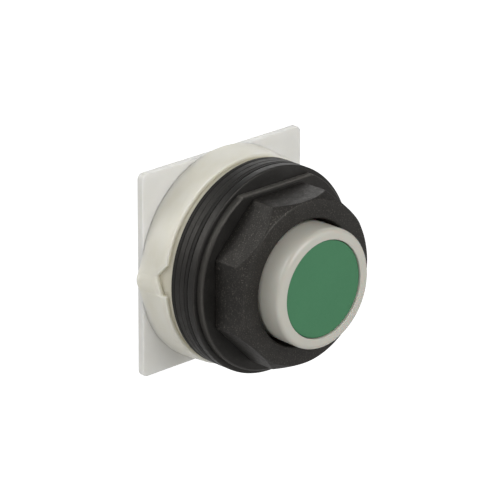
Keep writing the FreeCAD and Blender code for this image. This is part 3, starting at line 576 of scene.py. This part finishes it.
def make_thrust_washer(looks):
    """The round washer behind the nut, with its flat on top and its front edges bevelled."""
    front, rear = depth_span("thrust_washer")
    high = extent("thrust_washer")[1]
    radius, flat_height = high.x, high.z

    def section(angle):
        lift = math.sin(angle)
        on_flat = lift > 0.0 and radius * lift > flat_height
        reach = flat_height / lift if on_flat else radius
        edge = WASHER_FLAT_EDGE if on_flat else WASHER_RIM_EDGE
        return soften([
            (RING_BORE_RADIUS, front, 0.1), (reach - edge, front, 0.1), (reach, front + edge, 0.12),
            (reach, rear, 0.08), (RING_BORE_RADIUS, rear, 0.08)],
            steps=WASHER_ROUNDING_STEPS)
    piece = lathe("thrust_washer_body", section, flat_topped_angles(radius, flat_height))
    return paint(place(piece, "clamp_washers", "thrust_washer"), looks["washer"])


def slotted_ring(name, node, edge_round, rear_reach):
    """A ring with the slot at twelve o'clock that the drum's nib passes through."""
    front, rear = depth_span(node)
    rear += rear_reach
    radius = radius_of(node)

    def section(angle):
        side = abs(math.cos(angle)) * SLOT_TOP
        in_slot = math.sin(angle) > 0.0 and side < SLOT_HALF_WIDE
        inner = SLOT_TOP / math.sin(angle) if in_slot else RING_BORE_RADIUS
        return soften([
            (inner, front, 0.05), (radius, front, edge_round),
            (radius, rear, edge_round), (inner, rear, 0.05)])
    return lathe(name, section)


def make_rings(looks):
    """The plain rings: one in front of the panel, the others behind it."""
    for node, edge_round, rear_reach, body, slot, look in (
            ("front_disc", 0.34, DISC_SEAT, "clamp_washers", "black_washer", "disc"),
            ("panel_gasket", 0.26, 0.0, "housing", "black_rubber", "rubber"),
            ("front_spacer", 0.16, 0.0, "housing", "black_spacer", "spacer"),
            ("rear_spacer", 0.16, 0.0, "housing", "black_spacer", "spacer"),
            ("drum_gasket", 0.3, 0.0, "housing", "black_rubber", "rubber")):
        piece = slotted_ring(node + "_body", node, edge_round, rear_reach)
        paint(place(piece, body, node), looks[look])


# ---------------------------------------------------------------------------------------------------------
# Drum and rear plate
# ---------------------------------------------------------------------------------------------------------
NECK_RADIUS = 20.75
DRUM_FRONT_RADIUS = 21.85
DRUM_REAR_RADIUS = 22.2
DRUM_LIP_STATION = 6.0
DRUM_CAVITY_RADIUS = 19.5
DRUM_BORE_RADIUS = 15.0
DRUM_WALL_STATION = 7.2
DRUM_SEAT_GAP = 0.02
DRUM_LIP_BEVEL = 0.25
DRUM_SHOULDER = 1.0            # from the lip back to where the wall has its front radius
DRUM_WAIST = 0.1               # how far the wall's middle stays inside its rear radius
DRUM_WAIST_BACK = 1.0          # and how far behind the middle it lies
POINTER_REACH = 1.1
POINTER_SPREAD = 0.105         # radians
POINTER_SHARES = (0.2, 0.35, 0.85)     # of the bump, at the lip, the shoulder and the waist
POINTER_CLEAR = 16.0           # degrees each side of nine o'clock that need closer angles
NOTCH_EDGE = (                 # degrees below nine o'clock, and how far the lip is cut back there
    (-11.5, 0.0), (-4.0, 2.4), (-2.6, 2.35), (5.6, 1.1), (6.1, 0.0))


def from_nine(angle):
    """Signed angle from nine o'clock, positive below it."""
    return (angle - NINE_O_CLOCK + math.pi) % FULL_TURN - math.pi


def notch_depth(off_degrees):
    """How far the drum's lip is cut back at an angle from nine o'clock."""
    for (start, shallow), (end, deep) in zip(NOTCH_EDGE, NOTCH_EDGE[1:]):
        if start <= off_degrees <= end:
            return shallow + (deep - shallow) * (off_degrees - start) / (end - start)
    return 0.0


def drum_angles():
    """Even angles, crowded round the pointer and the notch."""
    fine_step, clearance = 0.25, 0.2
    side_steps = round(POINTER_CLEAR / fine_step)
    fine = [NINE_O_CLOCK + math.radians(step * fine_step) for step in range(-side_steps, side_steps + 1)]
    far_enough = math.radians(POINTER_CLEAR + clearance)
    clear = [angle for angle in even_angles() if abs(from_nine(angle)) > far_enough]
    return sorted(clear + fine)


def make_drum(looks):
    """The drum: neck, notched lip, a wall that widens to the rear, and the bump at nine o'clock."""
    _, rear = depth_span("drum_shell")
    neck_front = depth_span("drum_gasket")[1] + DRUM_SEAT_GAP

    def section(angle):
        off = from_nine(angle)
        bulge = POINTER_REACH * math.exp(-(off / POINTER_SPREAD) ** 2)
        at_lip, at_shoulder, at_waist = (bulge * share for share in POINTER_SHARES)
        lip = DRUM_LIP_STATION + notch_depth(math.degrees(off))
        shoulder = lip + DRUM_SHOULDER
        waist = (shoulder + rear) / 2.0 + DRUM_WAIST_BACK
        return soften([
            (DRUM_BORE_RADIUS, neck_front, 0.2),
            (NECK_RADIUS, neck_front, 0.2),
            (NECK_RADIUS, lip, 0.15),
            (DRUM_FRONT_RADIUS - DRUM_LIP_BEVEL + at_lip, lip, 0.25),
            (DRUM_FRONT_RADIUS + at_shoulder, shoulder, 0.3),
            (DRUM_REAR_RADIUS - DRUM_WAIST + at_waist, waist, 0.8),
            (DRUM_REAR_RADIUS + bulge, rear, 0.1),
            (DRUM_CAVITY_RADIUS, rear, 0.1),
            (DRUM_CAVITY_RADIUS, DRUM_WALL_STATION, 0.4),
            (DRUM_BORE_RADIUS, DRUM_WALL_STATION, 0.1),
        ])
    piece = lathe("drum_body", section, drum_angles())
    return paint(place(piece, "housing", "drum_shell"), looks["drum"])


def rounded_box_radius(angle, half_wide, half_high, corner):
    """How far a rectangle with rounded corners reaches in a direction."""
    x, z = abs(math.cos(angle)), abs(math.sin(angle))
    straight = min(half_wide / max(x, NOT_ZERO), half_high / max(z, NOT_ZERO))
    middle_x, middle_z = half_wide - corner, half_high - corner
    if x * straight <= middle_x or z * straight <= middle_z:
        return straight
    along = middle_x * x + middle_z * z
    return along + math.sqrt(along ** 2 - middle_x ** 2 - middle_z ** 2 + corner ** 2)


def square_angles():
    """Angles crowded at a square's corners."""
    side, near, fine, coarse = 90.0, 5.0, 0.5, 2.5
    fine_steps = round(near / fine)
    coarse_steps = round((side - 2.0 * near) / coarse)
    angles = []
    for corner in range(4):
        middle = math.radians(side / 2.0 + side * corner)
        angles += [middle + math.radians(step * fine) for step in range(-fine_steps, fine_steps + 1)]
        angles += [middle + math.radians(near + step * coarse) for step in range(1, coarse_steps)]
    return sorted(angles)


def rod_mesh(x, z, front, rear, front_radius, rear_radius):
    """A closed round or tapered cutter along Y, in millimetres."""
    section = [(0.0, front), (front_radius, front), (rear_radius, rear), (0.0, rear)]
    cutter = lathe("cutter", lambda angle: section, even_angles(ROD_STEPS), closed=False)
    cutter.data.transform(Matrix.Translation(Vector((x, 0.0, z)) * MM))
    return cutter


PLATE_THICK = 1.6
PLATE_HOLE_RADIUS = 7.5
PLATE_RIM_OUTER = 19.2
PLATE_RIM_INNER = 13.0
PLATE_CORNER = 1.2
SCREW_CIRCLE = 17.2
SCREW_SHANK_RADIUS = 1.45
SCREW_CONE_DEEP = 1.45
SCREW_CONE_RADII = (1.35, 3.0)
SCREW_CONE_PAST = 0.2
INSERT_OFFSET = 16.1
INSERT_HOLE_RADIUS = 2.02
INSERT_HOLE_SPARE = 0.3
CUT_PAST = 1.0                 # how far a cutter sticks out of what it cuts


def make_rear_plate(looks):
    """The plate with its round rim, middle opening, four screw holes and two insert holes."""
    rim_front, rear = depth_span("rear_plate")
    corner_point = extent("rear_plate")[1]
    half_wide, half_high = corner_point.x, corner_point.z
    front = rear - PLATE_THICK

    def section(angle):
        reach = rounded_box_radius(angle, half_wide, half_high, PLATE_CORNER)
        return soften([
            (PLATE_HOLE_RADIUS, front, 0.15), (PLATE_RIM_INNER, front, 0.3),
            (PLATE_RIM_INNER, rim_front, 0.2), (PLATE_RIM_OUTER, rim_front, 0.2),
            (PLATE_RIM_OUTER, front, 0.2), (reach, front, 0.28),
            (reach, rear, 0.28), (PLATE_HOLE_RADIUS, rear, 0.2)])
    piece = lathe("rear_plate_body", section, square_angles())
    across = SCREW_CIRCLE * math.cos(math.radians(45.0))
    cutters = []
    for x in (-across, across):
        for z in (-across, across):
            cutters.append(rod_mesh(x, z, rim_front - CUT_PAST, rear + CUT_PAST,
                                    SCREW_SHANK_RADIUS, SCREW_SHANK_RADIUS))
            cutters.append(rod_mesh(x, z, rear - SCREW_CONE_DEEP, rear + SCREW_CONE_PAST, *SCREW_CONE_RADII))
    hole_front = depth_span("threaded_inserts")[0] - INSERT_HOLE_SPARE
    for x in (-INSERT_OFFSET, INSERT_OFFSET):
        cutters.append(rod_mesh(x, 0.0, hole_front, rear + CUT_PAST, INSERT_HOLE_RADIUS, INSERT_HOLE_RADIUS))
    cut_with(piece, cutters)
    shade_by_angle(piece)
    return paint(place(piece, "housing", "rear_plate"), looks["plate"])


# ---------------------------------------------------------------------------------------------------------
# Button
# ---------------------------------------------------------------------------------------------------------
CAP_FRONT_RADIUS = 12.36
CAP_REAR_RADIUS = 12.2
CAP_INNER_RADIUS = 10.9
CAP_RECESS_RADIUS = 10.06
CAP_RECESS_DEEP = 2.0
CAP_FLOOR_THICK = 1.5
CAP_HUB_RADIUS = 7.4
CAP_EDGE_ROUND = 1.75
SPIGOT_RADIUS = 3.45
SPIGOT_DEEP = 0.8
SCREW_HOLE_RADIUS = 1.6
SCREW_HEAD_RADIUS = 2.9
SCREW_HEAD_THICK = 1.1
COLOUR_THICK = 1.5
COLOUR_RIB = (2.6, 1.2)        # the glue rib on the insert's back, measured inward from its edge


def make_cap(looks):
    """The button cap, with the recess for its colour and the hub that the plunger and its screw enter."""
    front, rear = depth_span("button_cap")
    recess_floor = front + CAP_RECESS_DEEP
    wall_rear = recess_floor + CAP_FLOOR_THICK
    spigot_front = depth_span("plunger")[0]
    hub_rear = spigot_front + SPIGOT_DEEP
    screw_seat = depth_span("cap_screw")[0] + SCREW_HEAD_THICK
    piece = lathe_plain("button_cap_body", [
        (CAP_RECESS_RADIUS, front, 0.22),
        (CAP_FRONT_RADIUS, front, CAP_EDGE_ROUND),
        (CAP_REAR_RADIUS, rear, 0.2),
        (CAP_INNER_RADIUS, rear, 0.2),
        (CAP_INNER_RADIUS, wall_rear, 0.5),
        (CAP_HUB_RADIUS, wall_rear, 0.2),
        (CAP_HUB_RADIUS, hub_rear, 0.2),
        (SPIGOT_RADIUS, hub_rear, 0.1),
        (SPIGOT_RADIUS, spigot_front, 0.05),
        (SCREW_HOLE_RADIUS, spigot_front, 0.05),
        (SCREW_HOLE_RADIUS, screw_seat, 0.05),
        (SCREW_HEAD_RADIUS, screw_seat, 0.05),
        (SCREW_HEAD_RADIUS, recess_floor, 0.05),
        (CAP_RECESS_RADIUS, recess_floor, 0.1),
    ])
    return paint(place(piece, "button", "button_cap"), looks["cap"])


def make_insert(looks):
    """The coloured disc, with a low rib on its back."""
    front, rear = depth_span("color_insert")
    radius = radius_of("color_insert")
    back = front + COLOUR_THICK
    rib_inner, rib_outer = (radius - inward for inward in COLOUR_RIB)
    piece = lathe_plain("color_insert_body", [
        (0.0, front, 0.0), (radius, front, 0.28), (radius, back, 0.1),
        (rib_outer, back, 0.1), (rib_outer, rear, 0.05), (rib_inner, rear, 0.05),
        (rib_inner, back, 0.1), (0.0, back, 0.0)], closed=False)
    return paint(place(piece, "button", "color_insert"), looks["green"])


# ---------------------------------------------------------------------------------------------------------
# Seals and spring
# ---------------------------------------------------------------------------------------------------------
WIPER_LIP_RADIUS = 12.55
WIPER_FRONT_BEVEL = (0.35, 0.6)        # outward and rearward
WIPER_REAR_BEVEL = (0.1, 0.5)


def make_wiper(looks):
    """The ring that wipes the button's side, with a lip half way along its bore."""
    front, rear = depth_span("wiper_seal")
    outer, inner = radius_of("wiper_seal"), WIPER_LIP_RADIUS
    (front_out, front_in), (rear_out, rear_in) = WIPER_FRONT_BEVEL, WIPER_REAR_BEVEL
    piece = lathe_plain("wiper_seal_body", [
        (inner + front_out, front, 0.1), (outer, front, 0.1), (outer, rear, 0.05),
        (inner + rear_out, rear, 0.05), (inner, rear - rear_in, 0.15), (inner, front + front_in, 0.15)])
    return paint(place(piece, "housing", "wiper_seal"), looks["boot"])


def squash_with_button(piece):
    """Gives the piece its own copy of its mesh."""
    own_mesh(piece)


BOOT_INNER_RADIUS = 7.6
BOOT_FOLD_RADIUS = 10.2
BOOT_WALL = 0.7
BOOT_FOLD_WALL = 1.5 * BOOT_WALL       # the wall as it slants from fold to fold
BOOT_FLANGE_THICK = 1.0
BOOT_COLLAR_LONG = 1.6
BOOT_FOLDS = 3
BOOT_STEPS = 96


def make_boot(looks):
    """A bellows with its folds and rear flange."""
    front, rear = depth_span("rubber_boot")
    inner, outer, flange_radius = BOOT_INNER_RADIUS, BOOT_FOLD_RADIUS, radius_of("rubber_boot")
    flange_front = rear - BOOT_FLANGE_THICK
    start = front + BOOT_COLLAR_LONG
    step = (flange_front - start) / (2.0 * BOOT_FOLDS)
    outside = [(inner + BOOT_WALL, front, 0.2), (inner + BOOT_WALL, start, 0.2)]
    inside = [(inner, front, 0.1), (inner, start, 0.2)]
    for fold in range(BOOT_FOLDS):
        crest, valley = start + step * (2 * fold + 1), start + step * (2 * fold + 2)
        outside.append((outer, crest, 0.9))
        inside.append((outer - BOOT_FOLD_WALL, crest, 0.7))
        if fold < BOOT_FOLDS - 1:
            outside.append((inner + BOOT_FOLD_WALL, valley, 0.7))
            inside.append((inner, valley, 0.9))
    outside += [(inner + BOOT_FOLD_WALL, flange_front, 0.2), (flange_radius, flange_front, 0.15),
                (flange_radius, rear, 0.15)]
    inside += [(inner, flange_front, 0.2), (inner, rear, 0.1)]
    piece = lathe_plain("rubber_boot_body", outside + list(reversed(inside)), count=BOOT_STEPS)
    place(piece, "housing", "rubber_boot")
    squash_with_button(piece)
    return paint(piece, looks["boot"])


SPRING_WIRE_RADIUS = 0.4
SPRING_TURNS = 5.0
SPRING_STEPS = 48              # points along one turn
SPRING_WIRE_STEPS = 14         # and round the wire
SPRING_END_TURNS = 0.75
SPRING_END_SHARE = 0.55        # how thick the wire's ground ends are


def make_spring(looks):
    """A coil whose wire thins toward its ends."""
    front, rear = depth_span("return_spring")
    wire, rim = SPRING_WIRE_RADIUS, SPRING_WIRE_STEPS
    radius = radius_of("return_spring") - wire
    points, faces = [], []
    count = int(SPRING_TURNS * SPRING_STEPS) + 1
    for index in range(count):
        turn = index / SPRING_STEPS
        ease = min(1.0, min(turn, SPRING_TURNS - turn) / SPRING_END_TURNS)
        depth = front + wire + (rear - front - 2.0 * wire) * (turn / SPRING_TURNS)
        thick = wire * (SPRING_END_SHARE + (1.0 - SPRING_END_SHARE) * ease)
        angle = FULL_TURN * turn
        for around in range(rim):
            spin = FULL_TURN * around / rim
            reach = radius + thick * math.cos(spin)
            points.append((reach * math.cos(angle), depth + thick * math.sin(spin), reach * math.sin(angle)))
    for index in range(count - 1):
        near, far = index * rim, (index + 1) * rim
        for around in range(rim):
            after = (around + 1) % rim
            faces.append((near + around, near + after, far + after, far + around))
    faces.append(tuple(range(rim)))
    faces.append(tuple(reversed([(count - 1) * rim + around for around in range(rim)])))
    piece = finish_mesh("return_spring_coil", points, faces)
    place(piece, "housing", "return_spring")
    squash_with_button(piece)
    return paint(piece, looks["spring"])


def finish_cad_nodes(looks):
    """The CAD nodes whose shape is right keep it and get their finish here."""
    for node, look in (
            ("threaded_bushing", "bushing"), ("bushing_o_ring", "rubber"), ("guide_bush", "acetal"),
            ("boot_clamp_ring", "acetal"), ("spring_seat_washer", "steel"), ("plunger", "acetal"),
            ("stop_washer", "rubber"), ("e_clip", "steel"), ("actuator_pad", "acetal"),
            ("cap_screw", "steel"), ("actuator_screw", "steel"), ("plate_screws", "steel"),
            ("threaded_inserts", "brass")):
        paint(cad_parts[node], looks[look])


# ---------------------------------------------------------------------------------------------------------
# Floor, light and camera
# ---------------------------------------------------------------------------------------------------------
FLOOR_DROP = 0.5
FLOOR_SIZE = 24.0
FLOOR_WHITE = 0.65
FLOOR_GLOW = 0.42
FLOOR_SHADOW_SHARE = 0.3
FLOOR_SHADOW_REACH = (0.35, 0.85)      # metres from under the part where the painted shadow ends
POOL_GLOW = 1.04
POOL_MIDDLE = 1.36             # metres behind the part, as the camera sees it
POOL_REACH = (0.34, 0.47)      # metres across and along
POOL_FADE = 1.75               # in reaches, where the pool has faded away
BACKDROP_RADIUS = 11.0
BACKDROP_TOP = 14.0
BACKDROP_STEPS = 96
WORLD_GLOW = 0.15
WHITE = (1.0, 1.0, 1.0, 1.0)


def floor_glow(finish):
    """Pale all over, darker under the part as a painted shadow, and brightest in a soft pool behind the
    part.
    """
    across, along = POOL_REACH
    pool = finish.node("ShaderNodeMapping")
    pool.inputs["Scale"].default_value = (1.0 / across, 1.0 / along, 0.0)
    pool.inputs["Location"].default_value = (0.0, -POOL_MIDDLE / along, 0.0)
    finish.link(finish.place, pool.inputs["Vector"])
    from_pool = finish.length(pool.outputs["Vector"])
    from_part = finish.length(finish.place)
    # painted shadow: the floor glows less under the part
    near = finish.spread(from_part, FLOOR_SHADOW_SHARE * FLOOR_GLOW, FLOOR_GLOW, *FLOOR_SHADOW_REACH)
    share = finish.spread(from_pool, 1.0, 0.0, 1.0, POOL_FADE, smooth=True)
    return finish.between(share, near, POOL_GLOW)


def stage_mesh(name, corners, faces):
    """A mesh in metres that belongs to the studio, not to the part."""
    mesh = bpy.data.meshes.new(name)
    mesh.from_pydata(corners, [], faces)
    piece = bpy.data.objects.new(name, mesh)
    bpy.context.scene.collection.objects.link(piece)
    return piece


def make_floor():
    """A wide pale floor well below the part."""
    half = FLOOR_SIZE / 2.0
    corners = [(-half, -half, 0.0), (half, -half, 0.0), (half, half, 0.0), (-half, half, 0.0)]
    floor = stage_mesh("floor", corners, [(0, 1, 2, 3)])
    floor.location = (0.0, 0.0, cad_box[0].z - FLOOR_DROP)
    floor.rotation_euler.z = math.radians(CAMERA_AZIMUTH)
    finish = Finish("floor_white", (FLOOR_WHITE,) * 3, 0.9)
    finish.shader.inputs["Emission Color"].default_value = WHITE
    finish.link(floor_glow(finish), finish.shader.inputs["Emission Strength"])
    paint(floor, finish.material)


def make_backdrop():
    """A far round wall as pale as the floor. Only the camera sees it, so it adds no light."""
    count = BACKDROP_STEPS
    ring = [(math.cos(angle), math.sin(angle)) for angle in even_angles(count)]
    low, high = cad_box[0].z - FLOOR_DROP, BACKDROP_TOP
    corners = [(x * BACKDROP_RADIUS, y * BACKDROP_RADIUS, z) for z in (low, high) for x, y in ring]
    faces = [(step, (step + 1) % count, (step + 1) % count + count, step + count) for step in range(count)]
    wall = stage_mesh("backdrop", corners, faces)
    for kind in ("diffuse", "glossy", "transmission", "shadow"):
        setattr(wall, "visible_" + kind, False)
    finish = Finish("backdrop_white", (0.0, 0.0, 0.0), 1.0, Specular_IOR_Level=0.0)
    finish.shader.inputs["Emission Color"].default_value = WHITE
    finish.shader.inputs["Emission Strength"].default_value = FLOOR_GLOW + FLOOR_WHITE * WORLD_GLOW
    paint(wall, finish.material)


def make_softbox(name, direction, side, watts):
    """A square area light that looks at the part's middle from a direction."""
    light = bpy.data.lights.new(name, "AREA")
    light.shape = "RECTANGLE"
    light.size = light.size_y = side
    light.energy = watts
    lamp = bpy.data.objects.new(name, light)
    bpy.context.scene.collection.objects.link(lamp)
    toward = Vector(direction).normalized()
    lamp.location = toward * SOFTBOX_DISTANCE
    lamp.rotation_mode = "QUATERNION"
    lamp.rotation_quaternion = toward.to_track_quat("Z", "Y")
    lamp.visible_camera = False


def make_world():
    """A faint even light from everywhere."""
    world = bpy.data.worlds.new("studio")
    world.use_nodes = True
    background = world.node_tree.nodes["Background"]
    background.inputs["Color"].default_value = WHITE
    background.inputs["Strength"].default_value = WORLD_GLOW
    bpy.context.scene.world = world


SOFTBOX_DISTANCE = 0.6         # metres from the frame's origin
SOFTBOXES = (                  # name, direction from the part, side in metres, watts
    ("key_front_box", (0.0, -0.8, 0.6), 0.4, 2.3),
    ("front_right_box", (0.5, -0.85, 0.2), 0.4, 0.6),
    ("front_rim_box", (-0.33, -0.7, 0.63), 0.12, 0.35),
    ("low_left_box", (-0.75, -0.45, -0.45), 0.3, 0.55),
    ("left_high_box", (-0.9, -0.2, 0.5), 0.4, 0.3),
    ("rear_right_box", (0.6, 0.6, 0.4), 0.4, 0.7),
    ("rear_top_box", (-0.36, 0.65, 0.65), 0.4, 0.45),
    ("rear_left_box", (-0.7, 0.5, 0.5), 0.4, 1.35),
)


CAMERA_AZIMUTH = -43.813
CAMERA_ELEVATION = 21.152
CAMERA_ROLL = 0.246
CAMERA_DISTANCE = 0.8
CAMERA_AIM_RIGHT = 0.005424    # metres from the middle of the rear plate's front face
CAMERA_AIM_UP = 0.000165
CAMERA_LENS = 289.0
CAMERA_SENSOR = 36.0
CAMERA_CLIP = (0.01, 20.0)


def make_camera():
    """The camera stands in front of the part, to its left and above, as a long product lens does."""
    turn, lift = math.radians(CAMERA_AZIMUTH), math.radians(CAMERA_ELEVATION)
    back = Vector((math.sin(turn) * math.cos(lift), -math.cos(turn) * math.cos(lift), math.sin(lift)))
    right = Vector((math.cos(turn), math.sin(turn), 0.0))
    up = back.cross(right)
    roll = math.radians(CAMERA_ROLL)
    rolled_right = right * math.cos(roll) + up * math.sin(roll)
    rolled_up = up * math.cos(roll) - right * math.sin(roll)
    data = bpy.data.cameras.new("product_camera")
    data.sensor_width = CAMERA_SENSOR
    data.lens = CAMERA_LENS
    data.clip_start, data.clip_end = CAMERA_CLIP
    camera = bpy.data.objects.new("product_camera", data)
    bpy.context.scene.collection.objects.link(camera)
    plate_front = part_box("rear_plate")[1].y - PLATE_THICK * MM
    aim = Vector((0.0, plate_front, 0.0)) + right * CAMERA_AIM_RIGHT + up * CAMERA_AIM_UP
    turned = Matrix((rolled_right, rolled_up, back)).transposed().to_4x4()
    camera.matrix_world = Matrix.Translation(aim + back * CAMERA_DISTANCE) @ turned
    bpy.context.scene.camera = camera


def main():
    """Builds the visual model and the studio round it."""
    bpy.context.scene.view_settings.view_transform = "Standard"
    looks = make_materials()
    make_ring_nut(looks)
    make_thrust_washer(looks)
    make_rings(looks)
    make_drum(looks)
    make_rear_plate(looks)
    make_cap(looks)
    make_insert(looks)
    make_wiper(looks)
    make_boot(looks)
    make_spring(looks)
    finish_cad_nodes(looks)
    make_floor()
    make_backdrop()
    make_world()
    for softbox in SOFTBOXES:
        make_softbox(*softbox)
    make_camera()


main()
